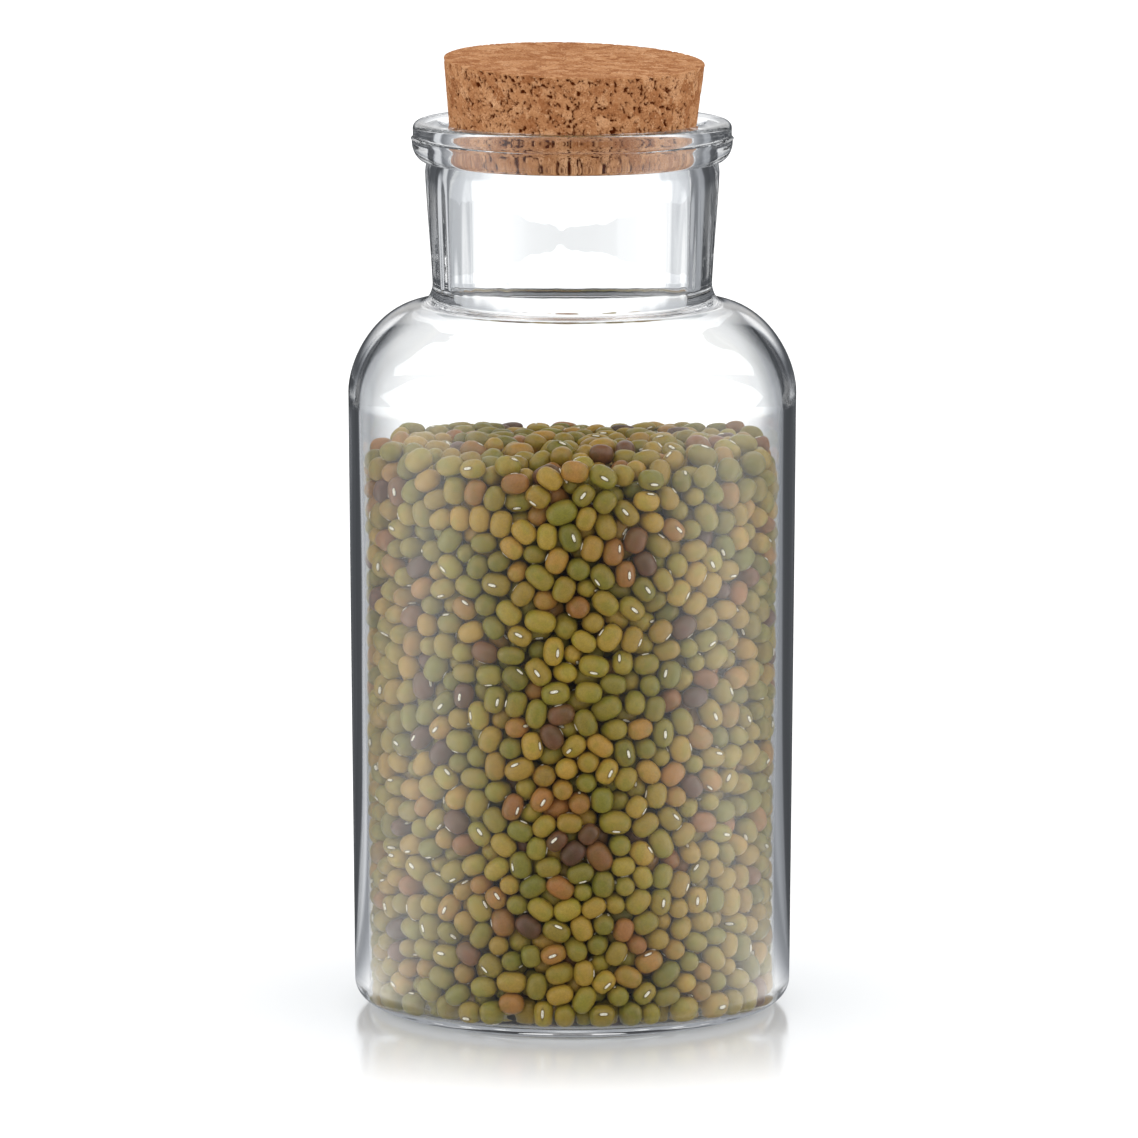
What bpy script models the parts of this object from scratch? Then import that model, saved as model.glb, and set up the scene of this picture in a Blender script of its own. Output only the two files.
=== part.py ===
"""A glass spice jar with a tapered cork stopper, filled with dried beans.

Units are metres. The jar stands on the XY plane with its axis on Z, and the side that the
photograph shows faces -Y. The stopper is drawn straight up along Z.
"""

import math
import random

import bmesh
import bpy
from mathutils.geometry import delaunay_2d_cdt

# Body of the jar, outside
FOOT_RADIUS = 0.0406  # just above the heel
SHOULDER_RADIUS = 0.04155  # where the side meets the shoulder
HEEL_WIDTH = 0.0066
HEEL_HEIGHT = 0.0048
SIDE_HEIGHT = 0.1106
SHOULDER_HEIGHT = 0.0161
BODY_WALL = 0.0026

# Base of the jar
BEARING_WIDTH = 0.0030  # flat ring that the jar stands on
PUSH_UP = 0.0014  # hollow under the base
FLOOR_EDGE_THICKNESS = 0.0022
FLOOR_RISE = 0.0016  # the floor is higher in its middle
INNER_HEEL = 0.0016

# Mouth and bore
MOUTH_RADIUS = 0.0233
MOUTH_ROUND_WIDTH = 0.0019
MOUTH_ROUND_HEIGHT = 0.0018
SEAT_DEPTH = 0.0063  # tapered seat for the stopper, under the rounded edge
SEAT_NARROWING = 0.00072  # of the radius, from the mouth to the straight bore
INNER_ROOT_WIDTH = 0.0010  # rounded lower end of the bore
INNER_ROOT_HEIGHT = 0.0010

# Neck, outside
NECK_HEIGHT = 0.0205
NECK_WALL = 0.0033  # at its root
NECK_FLARE = 0.00136  # of the radius, from the root up to the collar
ROOT_FILLET_WIDTH = 0.0030
ROOT_FILLET_HEIGHT = 0.0040
COLLAR_HEIGHT = 0.0021  # the swelling just under the lip
GROOVE_DEPTH = 0.0003  # between the collar and the lip

# Lip
LIP_STAND_OUT = 0.00246  # of its lower tier, beyond the collar
LIP_LOWER_HEIGHT = 0.0039
RIDGE_STAND_OUT = 0.00015  # fine line between the tiers
RIDGE_HEIGHT = 0.0007
UPPER_TIER_STEP = 0.0002  # the upper tier is this much narrower
UPPER_TIER_HEIGHT = 0.0015
LIP_CORNER = 0.0013

# Cork stopper
CORK_CLEARANCE = 0.0005  # all round, at the mouth
CORK_ABOVE_MOUTH = 0.0132
CORK_BELOW_MOUTH = 0.0047
CORK_EDGE = 0.0003
CORK_TAPER_SHARE = 0.105  # radius gained per length
CORK_TILT_FORWARD = math.radians(2.5)
CORK_TILT_RIGHT = math.radians(1.6)

# Beans
BEAN_WIDTH = 0.0040
BEAN_SPACING = 0.0050  # from bean to bean in the heap's outer layer, gaps included
BEAN_HOLLOW = 0.0024  # depth of the hollows between the beans of that layer
BEAN_SHIFT_SHARE = 0.16  # of the spacing, by which a bean lies out of line
BEAN_SINK_SHARE = 0.25  # of the hollow, by which a bean lies further back
FILL_CLEARANCE = 0.0003
FILL_BELOW_SHOULDER = 0.0084  # level of the beans at the glass, under the end of the straight side
FILL_CROWN = 0.0012  # the heap is higher in its middle

# Shape of the curves, 2 being an ellipse
OUTER_SHOULDER_FULLNESS = 1.74
INNER_SHOULDER_FULLNESS = 1.95

JAR_TURN_STEPS = 72
FLOOR_STEPS = 4
INNER_HEEL_STEPS = 6
CORK_TURN_STEPS = 64
FILL_FLOOR_STEPS = 3
FILL_HEEL_STEPS = 2
BEAN_SEED = 5
SHARP_ANGLE = math.radians(35)
MERGE_SHARE = 0.0002  # of the radius, for points on the axis


def sweep(start, end, sets_off, steps, fullness=2.0):
    """Points after start on a quarter curve to end, which sets off along 'r' or along 'z'."""
    points = []
    for step in range(1, steps + 1):
        angle = math.pi / 2 * step / steps
        ahead = math.sin(angle) ** (2 / fullness)
        aside = 1 - max(math.cos(angle), 0.0) ** (2 / fullness)
        share_r, share_z = (ahead, aside) if sets_off == "r" else (aside, ahead)
        radius = start[0] + (end[0] - start[0]) * share_r
        height = start[1] + (end[1] - start[1]) * share_z
        points.append((radius, height))
    return points


def bowl(middle_height, edge, steps):
    """Points of a shallow dome from the axis out to its edge, both included."""
    points = []
    for step in range(steps + 1):
        share = step / steps
        height = middle_height + (edge[1] - middle_height) * share**2
        points.append((edge[0] * share, height))
    return points


def make_material(name, colour, roughness, transmission=0.0):
    material = bpy.data.materials.new(name)
    material.use_nodes = True
    material.diffuse_color = (*colour, 1.0)
    shader = material.node_tree.nodes["Principled BSDF"]
    shader.inputs["Base Color"].default_value = (*colour, 1.0)
    shader.inputs["Roughness"].default_value = roughness
    shader.inputs["Metallic"].default_value = 0.0
    shader.inputs["Transmission Weight"].default_value = transmission
    return material


def turned(name, profile, steps, material, collection):
    """A solid of revolution about its own Z from points (radius, height)."""
    mesh = bpy.data.meshes.new(name)
    corners = [(radius, 0.0, height) for radius, height in profile]
    edges = [(index, index + 1) for index in range(len(corners) - 1)]
    mesh.from_pydata(corners, edges, [])
    obj = bpy.data.objects.new(name, mesh)
    collection.objects.link(obj)
    screw = obj.modifiers.new("Turn", "SCREW")
    screw.axis = "Z"
    screw.angle = math.tau
    screw.steps = steps
    screw.render_steps = steps
    screw.use_smooth_shade = True
    screw.use_merge_vertices = True
    screw.merge_threshold = MERGE_SHARE * max(radius for radius, _ in profile)
    obj.data.materials.append(material)
    bake_turn(obj)
    return obj


def bake_turn(obj):
    """Applies the turn, so that smooth and sharp edges can be set on the mesh."""
    graph = bpy.context.evaluated_depsgraph_get()
    mesh = bpy.data.meshes.new_from_object(obj.evaluated_get(graph))
    profile = obj.data
    obj.modifiers.clear()
    obj.data = mesh
    bpy.data.meshes.remove(profile)
    mesh.name = obj.name
    mesh.shade_smooth()
    mesh.set_sharp_from_angle(angle=SHARP_ANGLE)


def jar_heights():
    """Heights of the jar's outer features above the surface that it stands on."""
    side_top = HEEL_HEIGHT + SIDE_HEIGHT
    shoulder_top = side_top + SHOULDER_HEIGHT
    root_top = shoulder_top + ROOT_FILLET_HEIGHT
    collar = root_top + NECK_HEIGHT
    lip_bottom = collar + COLLAR_HEIGHT
    ridge_bottom = lip_bottom + LIP_LOWER_HEIGHT
    ridge_top = ridge_bottom + RIDGE_HEIGHT
    rim = ridge_top + UPPER_TIER_HEIGHT + LIP_CORNER
    return side_top, shoulder_top, root_top, collar, lip_bottom, ridge_bottom, ridge_top, rim


def neck_radii():
    """Radii of the bore, the neck's root, the collar and the lip, all from the mouth."""
    bore = MOUTH_RADIUS - SEAT_NARROWING
    root = bore + NECK_WALL
    collar = root + NECK_FLARE
    return bore, root, collar, collar + LIP_STAND_OUT


def mouth_height():
    """Height at which the bore starts, under the rounded edge of the mouth."""
    return jar_heights()[-1] - MOUTH_ROUND_HEIGHT


def inner_foot_profile(clearance, floor_steps, heel_steps):
    """The jar's inside from the axis over the floor and the inner heel to the wall, moved in."""
    wall_radius = FOOT_RADIUS - BODY_WALL - clearance
    floor_edge = (wall_radius - INNER_HEEL, FLOOR_EDGE_THICKNESS + clearance)
    wall_foot = (wall_radius, floor_edge[1] + INNER_HEEL)
    floor = bowl(floor_edge[1] + FLOOR_RISE, floor_edge, floor_steps)
    return floor + sweep(floor_edge, wall_foot, "r", heel_steps)


def inner_wall_radius(height, clearance):
    """Radius of the inside of the slightly tapered side at a height."""
    wall_foot_height = FLOOR_EDGE_THICKNESS + INNER_HEEL
    wall_top_height = jar_heights()[0] - BODY_WALL
    share = (height - wall_foot_height) / (wall_top_height - wall_foot_height)
    foot, top = FOOT_RADIUS - BODY_WALL, SHOULDER_RADIUS - BODY_WALL
    return foot + (top - foot) * share - clearance


def jar_inside():
    """From the middle of the floor up to the rounded edge of the mouth."""
    side_top, shoulder_top = jar_heights()[:2]
    bore_radius = neck_radii()[0]
    wall_top = (SHOULDER_RADIUS - BODY_WALL, side_top - BODY_WALL)
    root = (bore_radius + INNER_ROOT_WIDTH, shoulder_top - INNER_ROOT_HEIGHT)
    bore_foot = (bore_radius, shoulder_top)
    seat_foot = (bore_radius, mouth_height() - SEAT_DEPTH)
    mouth = (MOUTH_RADIUS, mouth_height())
    points = inner_foot_profile(0.0, FLOOR_STEPS, INNER_HEEL_STEPS) + [wall_top]
    points += sweep(wall_top, root, "z", 10, INNER_SHOULDER_FULLNESS)
    points += sweep(root, bore_foot, "r", 4)
    return points + [seat_foot, mouth]


def jar_lip(mouth):
    """From the bore over the rim and down both tiers to the groove under the lip."""
    lip_bottom, ridge_bottom, ridge_top, rim = jar_heights()[-4:]
    collar_radius, lip_radius = neck_radii()[-2:]
    tier_radius = lip_radius - UPPER_TIER_STEP
    rim_inner = (mouth[0] + MOUTH_ROUND_WIDTH, rim)
    rim_outer = (tier_radius - LIP_CORNER, rim)
    tier_top = (tier_radius, rim - LIP_CORNER)
    ridge = (lip_radius + RIDGE_STAND_OUT, (ridge_bottom + ridge_top) / 2)
    lower = (lip_radius, ridge_bottom)
    groove = (collar_radius - GROOVE_DEPTH, lip_bottom)
    points = sweep(mouth, rim_inner, "z", 5) + [rim_outer]
    points += sweep(rim_outer, tier_top, "r", 4)
    points += [(tier_radius, ridge_top), ridge, lower]
    return points + sweep(lower, groove, "z", 7)


def jar_outside():
    """From the collar under the lip down to the middle of the base."""
    side_top, shoulder_top, root_top, collar = jar_heights()[:4]
    root_radius, collar_radius = neck_radii()[1:3]
    root = (root_radius, root_top)
    shoulder = (root_radius + ROOT_FILLET_WIDTH, shoulder_top)
    side = (SHOULDER_RADIUS, side_top)
    heel = (FOOT_RADIUS, HEEL_HEIGHT)
    bearing_outer = (FOOT_RADIUS - HEEL_WIDTH, 0.0)
    bearing_inner = (bearing_outer[0] - BEARING_WIDTH, 0.0)
    points = [(collar_radius, collar), root]
    points += sweep(root, shoulder, "z", 4)
    points += sweep(shoulder, side, "r", 12, OUTER_SHOULDER_FULLNESS) + [heel]
    points += sweep(heel, bearing_outer, "z", 7)
    return points + bowl(PUSH_UP, bearing_inner, 5)[::-1]


def make_jar(material, collection):
    inside = jar_inside()
    profile = inside + jar_lip(inside[-1]) + jar_outside()
    return turned("glass_jar", profile, JAR_TURN_STEPS, material, collection)


def make_stopper(material, collection):
    """The cork, its origin in the middle of the mouth, pressed in a little askew."""
    mouth_radius = MOUTH_RADIUS - CORK_CLEARANCE
    top_radius = mouth_radius + CORK_TAPER_SHARE * CORK_ABOVE_MOUTH
    foot_radius = mouth_radius - CORK_TAPER_SHARE * CORK_BELOW_MOUTH
    edge_slant = CORK_TAPER_SHARE * CORK_EDGE
    side_top = (top_radius - edge_slant, CORK_ABOVE_MOUTH - CORK_EDGE)
    side_foot = (foot_radius + edge_slant, CORK_EDGE - CORK_BELOW_MOUTH)
    profile = [(0.0, CORK_ABOVE_MOUTH), (top_radius - CORK_EDGE, CORK_ABOVE_MOUTH)]
    profile += sweep(profile[-1], side_top, "r", 2) + [side_foot]
    profile += sweep(side_foot, (foot_radius - CORK_EDGE, -CORK_BELOW_MOUTH), "z", 2)
    profile.append((0.0, -CORK_BELOW_MOUTH))
    stopper = turned("cork_stopper", profile, CORK_TURN_STEPS, material, collection)
    stopper.location = (0.0, 0.0, mouth_height())
    stopper.rotation_euler = (CORK_TILT_FORWARD, CORK_TILT_RIGHT, 0.0)
    return stopper


def bean_shift(chance):
    """How far a bean of the heap's outer layer lies out of line, one way or the other."""
    return BEAN_SPACING * BEAN_SHIFT_SHARE * chance.uniform(-1, 1)


def bean_depth(chance):
    """How far back a bean of the outer layer lies."""
    return BEAN_HOLLOW * BEAN_SINK_SHARE * chance.random()


def fill_rows(foot):
    """Columns round the heap, and the heights of its rows of beans from the top one to the foot.

    Beans lie at every other crossing of rows and columns, as many to an area as in a layer where
    each bean has six neighbours.
    """
    top = jar_heights()[0] - FILL_BELOW_SHOULDER - BEAN_WIDTH / 2
    step = BEAN_SPACING * math.sqrt(math.sqrt(3) / 4)
    columns = 2 * round(math.pi * inner_wall_radius(top, FILL_CLEARANCE) / step)
    count = round((top - foot) / step)
    return columns, [top + (foot - top) * row / count for row in range(count + 1)]


def lump_side(mesh, columns, heights, chance):
    """Moves the points of the turned side in and out, so that they follow its beans.

    Each square is split from hollow to hollow, which leaves each bean its own lump. Returns the
    points of the top row, in order round the axis.
    """
    step = heights[0] - heights[1]
    hollows, rim = set(), {}
    for point in mesh.verts:
        if point.co.z < heights[-1] - MERGE_SHARE * step:
            continue
        angle = math.atan2(point.co.y, point.co.x)
        column = round(angle / math.tau * columns) % columns
        row = round((heights[0] - point.co.z) / step)
        height, depth = heights[row], BEAN_HOLLOW
        if row == 0:
            rim[column] = point
        if (row + column) % 2:
            hollows.add(point)
        else:
            depth = bean_depth(chance)
            if 0 < row < len(heights) - 1:
                height += bean_shift(chance)
            angle += bean_shift(chance) / inner_wall_radius(height, 0.0)
        radius = inner_wall_radius(height, FILL_CLEARANCE) - depth
        point.co = (radius * math.cos(angle), radius * math.sin(angle), height)
    for square in list(mesh.faces):
        ends = [point for point in square.verts if point in hollows]
        if len(square.verts) == 4 and len(ends) == 2:
            bmesh.utils.face_split(square, *ends)
    return [rim[column] for column in range(columns)]


def top_spots(reach, chance):
    """Places (x, y, depth) on the top: beans with six neighbours each, and the hollows between."""
    spots = []
    row_step = BEAN_SPACING * math.sqrt(3) / 2
    count = math.ceil(reach / row_step)
    for row in range(-count, count + 1):
        for column in range(-count - 1, count + 2):
            x, y = (column + row % 2 / 2) * BEAN_SPACING, row * row_step
            if row == column == 0:
                # The middle bean keeps the heap's full height
                spots.append((x, y, 0.0))
            else:
                spots.append((x + bean_shift(chance), y + bean_shift(chance), bean_depth(chance)))
            for side in (-1, 1):
                spots.append((x + BEAN_SPACING / 2, y + side * row_step / 3, BEAN_HOLLOW))
    return [spot for spot in spots if math.hypot(*spot[:2]) < reach]


def lump_top(mesh, rim, chance):
    """Closes the heap inside its rim with beans that rise to its middle."""
    edge_height = jar_heights()[0] - FILL_BELOW_SHOULDER
    edge_radius = inner_wall_radius(edge_height, FILL_CLEARANCE)
    points = list(rim)
    for x, y, depth in top_spots(edge_radius - BEAN_HOLLOW - BEAN_WIDTH / 4, chance):
        rise = FILL_CROWN * (1 - (math.hypot(x, y) / edge_radius) ** 2)
        points.append(mesh.verts.new((x, y, edge_height + rise - depth)))
    flat = [point.co.xy for point in points]
    outline = [range(len(rim))]
    _, _, triangles, origins, _, _ = delaunay_2d_cdt(flat, [], outline, 1, MERGE_SHARE * BEAN_WIDTH)
    for triangle in triangles:
        mesh.faces.new([points[origins[index][0]] for index in triangle])


def make_fill(material, collection):
    """The beans taken together: a heap in the shape of the jar's inside, lumpy with its beans."""
    foot = inner_foot_profile(FILL_CLEARANCE, FILL_FLOOR_STEPS, FILL_HEEL_STEPS)
    columns, heights = fill_rows(foot[-1][1])
    side = [(inner_wall_radius(height, FILL_CLEARANCE), height) for height in heights[:-1]]
    heap = turned("bean_fill", side + foot[::-1], columns, material, collection)
    chance = random.Random(BEAN_SEED)
    mesh = bmesh.new()
    mesh.from_mesh(heap.data)
    rim = lump_side(mesh, columns, heights, chance)
    lump_top(mesh, rim, chance)
    mesh.to_mesh(heap.data)
    mesh.free()
    heap.data.shade_smooth()
    return heap


def main():
    for old in list(bpy.data.objects):
        bpy.data.objects.remove(old, do_unlink=True)
    collection = bpy.data.collections.new("spice_jar")
    bpy.context.scene.collection.children.link(collection)
    glass = make_material("clear_glass", (0.92, 0.95, 0.94), 0.02, transmission=1.0)
    cork = make_material("agglomerated_cork", (0.50, 0.27, 0.13), 0.85)
    beans = make_material("dried_beans", (0.35, 0.33, 0.10), 0.45)
    make_jar(glass, collection)
    make_stopper(cork, collection)
    make_fill(beans, collection)


main()
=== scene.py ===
"""The looks of a corked glass spice jar filled with dried mung beans.

The jar stands on the XY plane with its axis on Z, and the camera looks at it along +Y. The jar, the
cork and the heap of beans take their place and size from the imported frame.
"""

import math

import bpy
import numpy as np
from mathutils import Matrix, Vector, noise


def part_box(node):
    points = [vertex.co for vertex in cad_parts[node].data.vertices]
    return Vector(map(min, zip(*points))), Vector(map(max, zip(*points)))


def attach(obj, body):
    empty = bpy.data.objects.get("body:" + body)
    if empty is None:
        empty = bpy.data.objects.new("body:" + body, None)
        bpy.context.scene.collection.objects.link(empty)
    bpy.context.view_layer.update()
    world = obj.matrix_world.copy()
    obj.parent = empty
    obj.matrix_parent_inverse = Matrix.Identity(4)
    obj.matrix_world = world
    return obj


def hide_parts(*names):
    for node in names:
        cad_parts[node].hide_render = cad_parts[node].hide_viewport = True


def srgb(red, green, blue):
    """A colour written as a screen shows it, in the linear values that shaders take."""
    def linear(level):
        share = level / 255
        return share / 12.92 if share <= 0.04045 else ((share + 0.055) / 1.055) ** 2.4
    return linear(red), linear(green), linear(blue)


SEED = 11
MM = 0.001

# Camera, from the ellipses of the base, the lip and the cork in the photograph
PHOTO_SIDE = 1138  # pixels
CAMERA_DISTANCE = 1.8
CAMERA_HEIGHT = 0.348
CAMERA_FOCAL_PIXELS = 9782
AIM_ASIDE = -0.00061
AIM_HEIGHT = 0.08178
SENSOR_WIDTH = 36.0  # millimetres, as the camera takes it
CAMERA_REACH = 20.0

# Studio
FLOOR_HALF = 4.0
FLOOR_COLOUR = 0.86
FLOOR_GLOW = 0.30  # what the camera sees on top of the light that falls on the floor
FLOOR_PAINTED_SHADOW_INNER, FLOOR_PAINTED_SHADOW_OUTER = 0.036, 0.058  # from the axis, where the glow begins; inside that the glow is left out, a painted shadow round the jar's foot
FLOOR_PAINTED_SHADOW_STRETCH = (1.25, 1.0, 1.0)  # of the way from the axis, which makes the painted shadow's edge an oval
FLOOR_GLOSS = 0.52  # share of the floor's light that it mirrors close to the jar
FLOOR_GLOSS_NEAR, FLOOR_GLOSS_FAR = 0.040, 0.108  # from the jar's axis, where that fades
FLOOR_GLOSS_COLOUR = (0.86, 0.90, 0.945)
FLOOR_ROUGHNESS = 0.16
SKY_LEVEL = 0.86  # light from all round
SIDE_LEVEL = 0.34  # more of it from the two sides
TOP_LEVEL = 0.24  # and from above
TOP_START, TOP_FULL = 0.2, 1.0  # sines of the heights over which that comes in
SIDE_ANGLE = 72.0  # degrees from the camera, seen from above
SIDE_SPREAD = 34.0
SHEEN_PEAK = 1.60  # what the glass mirrors at the sides
SHEEN_BASE = 0.045
SHEEN_ANGLE, SHEEN_SPREAD = 79.0, 33.0
RIM_LEVEL = 0.62  # a pale strip further back, mirrored only inside the wall
RIM_START, RIM_FULL, RIM_FADE, RIM_END = 130.0, 136.0, 142.0, 146.0
RIM_RIGHT = 0.40  # share of it on the right
RIM_CHANGE = 0.1  # half the change from left to right, as a sine of the angle
BEHIND_START, BEHIND_FULL = 154.0, 158.0  # degrees, beyond which the background is mirrored
BEHIND_LOW = 0.04  # which is dark at the floor
BEHIND_RISE = 0.15  # and white from this sine of the height on
HIGH_START, HIGH_FULL = 0.30, 0.60  # sines of the heights from which the light above shows
HIGH_LEVEL = 0.55  # as it is mirrored outside
NEAR_FLOOR_LEVEL = 0.36  # what it mirrors of the floor under it
NEAR_FLOOR, FAR_FLOOR = 0.042, 0.052  # from the axis, where that fades
CLEAR_LEVEL = 1.06  # the background seen through the glass
CLEAR_HALF_ANGLE, GREY_ANGLE = 8.0, 20.0  # degrees over which it turns grey
GREY_THROUGH = 0.56
LOW_CLEAR_HALF_ANGLE, LOW_GREY_ANGLE = 4.0, 15.0  # and where the floor shows there
LOW_GREY_THROUGH = 0.54
LOW_START, LOW_FULL = 0.042, 0.104  # from the axis, where the floor begins to show like that
LOW_NEAR, LOW_FAR = 0.9, 1.3  # and where it turns into the background
PANE = 45.0  # degrees from one clear direction to the next
GREY_TINT = (0.94, 1.0, 1.10)  # of the darkest of what shows in and through the glass

# Glass
GLASS_BOUNCES = 24  # light is turned back many times inside the root of the neck and the heel
GLASS_TURN_STEPS = 256
GLASS_STEP = 1.9 * MM  # along the section
GLASS_CORNER = math.radians(60)
GLASS_COLOUR = (0.975, 0.985, 0.990)
GLASS_SHADOW_COLOUR = (0.955, 0.96, 0.96)
GLASS_IOR = 1.5
RIPPLE_DEPTH = 0.05 * MM
NECK_RIPPLE_DEPTH = 0.07 * MM
BODY_WAVES = ((3, 0.35), (5, 0.3), (8, 0.25), (13, 0.18), (19, 0.12), (29, 0.07))  # round, share
NECK_WAVES = ((9, 0.3), (17, 0.3), (26, 0.25), (37, 0.2), (53, 0.12))
WAVE_DRIFT = 25  # most that a wave turns along the height, in radians per metre
WAVE_SWELL = 0.5  # share by which a wave grows and shrinks along the height
WAVE_SWELL_PACE = (60, 140)  # radians per metre
NECK_LOW, NECK_HIGH, NECK_FADE = 0.130, 0.157, 0.005  # where the neck's own waves are
FLAT_BELOW, FLAT_FADE = 0.006, 0.010  # height below which the inside has no waves
RIM_ROWS = 12  # of the section, inside the rim, that stay true

# Beans
BEAN_COUNT = 7350
BEAN_FALL = 0.001 * MM  # how far the beans sink in each step while they find their places
BEAN_HALF_LENGTH = 2.48 * MM
BEAN_HALF_WIDTH = 2.0 * MM
BEAN_SPREAD_SHARE = 0.055
BEAN_SPREAD_LIMIT = 0.14
BEAN_ARM_SPREAD = 5  # how much more the beans differ in length than in width
BEAN_ARM_LIMITS = (0.25 * MM, 0.85 * MM)
BEAN_FLATNESS = 0.07  # most that a bean is thinner one way than the other
BEAN_FULLNESS = 2.45  # 2 is an ellipsoid, and more is blunter
HILUM_FULLNESS = 2.6
BEAN_GAP = 0.3 * MM  # between the beans and the glass
LID_RISE = 1.3 * MM  # over the heap's level while the beans grow, before the top ones fall
FINE_DEPTH = 9.0 * MM  # beans further inside are plainer
FINE_BEANS_A_PIECE = 520
PLAIN_BEANS_A_PIECE = 1500
BEAN_KINDS = (
    (0.00, srgb(132, 119, 40)), (0.25, srgb(148, 128, 44)), (0.50, srgb(160, 134, 46)),
    (0.76, srgb(172, 136, 50)), (0.84, srgb(166, 122, 50)), (0.91, srgb(158, 104, 50)),
    (0.96, srgb(118, 78, 48)), (1.00, srgb(92, 62, 44)))
TOP_LOOSE_DEPTH = 9.0 * MM  # of the layer that falls into place once the lid is off
TOP_FALL = 0.04 * MM  # in each step
START_SCALE = 0.6  # size at which the beans begin to grow
PAIR_REACH = 2.35 * BEAN_HALF_WIDTH  # balls closer than this are tested for touching
PAIR_STEPS = 6  # between two searches for them
HILUM_HALF_LENGTH = 0.72 * MM
HILUM_HALF_WIDTH = 0.26 * MM
HILUM_HEIGHT = 0.10 * MM
HILUM_SUNK = 0.03 * MM

# Cork
CORK_TURN_STEPS = 560
CORK_STEP = 0.34 * MM
CORK_PIT_DEPTH = 0.55 * MM
CORK_LUMP_DEPTH = 0.10 * MM
CORK_TOP_START, CORK_TOP_FADE = 0.35 * MM, 0.30 * MM  # below the top, where its sanded face begins
CORK_GRANULE, CORK_FINE_GRANULE = 2.1, 0.95  # millimetres, as are all sizes of the grain
CORK_SEAM, CORK_FINE_SEAM = 0.16, 0.20  # widths of the seams, in granules
CORK_TONES = (
    (0.15, srgb(134, 78, 43)), (0.35, srgb(168, 112, 72)), (0.55, srgb(193, 139, 96)),
    (0.75, srgb(216, 165, 123)), (1.00, srgb(236, 192, 150)))

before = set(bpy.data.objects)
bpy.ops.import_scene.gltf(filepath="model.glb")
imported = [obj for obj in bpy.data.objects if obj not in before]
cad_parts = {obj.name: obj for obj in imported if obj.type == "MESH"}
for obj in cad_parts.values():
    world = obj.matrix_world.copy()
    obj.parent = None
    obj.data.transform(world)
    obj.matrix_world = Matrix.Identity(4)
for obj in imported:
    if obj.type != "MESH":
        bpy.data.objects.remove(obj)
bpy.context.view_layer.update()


class Shader:
    """Adds nodes to a node tree, with sockets set to a number, a colour or another socket."""

    def __init__(self, tree):
        self.tree = tree
        tree.nodes.clear()

    def add(self, kind, inputs=None, **settings):
        made = self.tree.nodes.new("ShaderNode" + kind)
        for name, value in settings.items():
            setattr(made, name, value)
        for name, value in (inputs or {}).items():
            self.set(made.inputs[name], value)
        return made

    def set(self, socket, value):
        if isinstance(value, bpy.types.NodeSocket):
            self.tree.links.new(value, socket)
        elif socket.type == "RGBA" and len(value) == 3:
            socket.default_value = (*value, 1.0)
        else:
            socket.default_value = value

    def math(self, operation, *values, clamp=False):
        made = self.add("Math", operation=operation, use_clamp=clamp)
        for index, value in enumerate(values):
            self.set(made.inputs[index], value)
        return made.outputs[0]

    def vector(self, operation, *values):
        made = self.add("VectorMath", operation=operation)
        for index, value in enumerate(values):
            self.set(made.inputs[index], value)
        return made.outputs["Value" if operation in ("LENGTH", "DOT_PRODUCT") else "Vector"]

    def step(self, value, low, high, to_low=0.0, to_high=1.0):
        """Smooth step from to_low to to_high as value goes from low to high."""
        made = self.add("MapRange", interpolation_type="SMOOTHSTEP")
        for name, given in zip(("Value", "From Min", "From Max", "To Min", "To Max"),
                               (value, low, high, to_low, to_high)):
            self.set(made.inputs[name], given)
        return made.outputs["Result"]

    def mix(self, share, first, second, blend="MIX"):
        """Mixes two colours."""
        made = self.add("Mix", data_type="RGBA", blend_type=blend)
        for socket, value in zip((made.inputs[0], made.inputs[6], made.inputs[7]),
                                 (share, first, second)):
            self.set(socket, value)
        return made.outputs[2]

    def choose(self, share, first, second):
        """Mixes two numbers."""
        made = self.add("Mix", data_type="FLOAT")
        for socket, value in zip(made.inputs[:1] + made.inputs[2:4], (share, first, second)):
            self.set(socket, value)
        return made.outputs[0]

    def ramp(self, share, stops, interpolation="LINEAR"):
        made = self.add("ValToRGB", {"Fac": share})
        made.color_ramp.interpolation = interpolation
        elements = made.color_ramp.elements
        while len(elements) < len(stops):
            elements.new(0.5)
        for element, (place, colour) in zip(elements, stops):
            element.position = place
            element.color = (*colour, 1.0)
        return made.outputs["Color"]

    def grey(self, level):
        return self.add("CombineColor", dict.fromkeys(("Red", "Green", "Blue"), level)).outputs[0]

    def blend(self, kind, *inputs):
        """A shader made of others, and of a share first where it is a mix."""
        made = self.add(kind)
        for index, value in enumerate(inputs):
            self.set(made.inputs[index], value)
        return made

    def finish(self, surface, output="OutputMaterial"):
        self.set(self.add(output).inputs["Surface"], surface.outputs[0])


def new_material(name):
    material = bpy.data.materials.new(name)
    material.use_nodes = True
    return material, Shader(material.node_tree)


def set_view():
    """Plain colours, and light that is followed far enough through the thick glass."""
    bpy.context.scene.view_settings.view_transform = "Standard"
    cycles = bpy.context.scene.cycles
    cycles.caustics_reflective = False
    cycles.caustics_refractive = False
    cycles.max_bounces = GLASS_BOUNCES
    cycles.glossy_bounces = GLASS_BOUNCES
    cycles.transmission_bounces = GLASS_BOUNCES


def make_camera():
    data = bpy.data.cameras.new("photo_camera")
    data.sensor_width = SENSOR_WIDTH
    data.lens = SENSOR_WIDTH * CAMERA_FOCAL_PIXELS / PHOTO_SIDE
    data.clip_end = CAMERA_REACH
    camera = bpy.data.objects.new("photo_camera", data)
    bpy.context.scene.collection.objects.link(camera)
    place = Vector((0.0, -CAMERA_DISTANCE, CAMERA_HEIGHT))
    aim = Vector((AIM_ASIDE, 0.0, AIM_HEIGHT))
    camera.location = place
    camera.rotation_euler = (aim - place).to_track_quat("-Z", "Y").to_euler()
    bpy.context.scene.camera = camera


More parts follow.
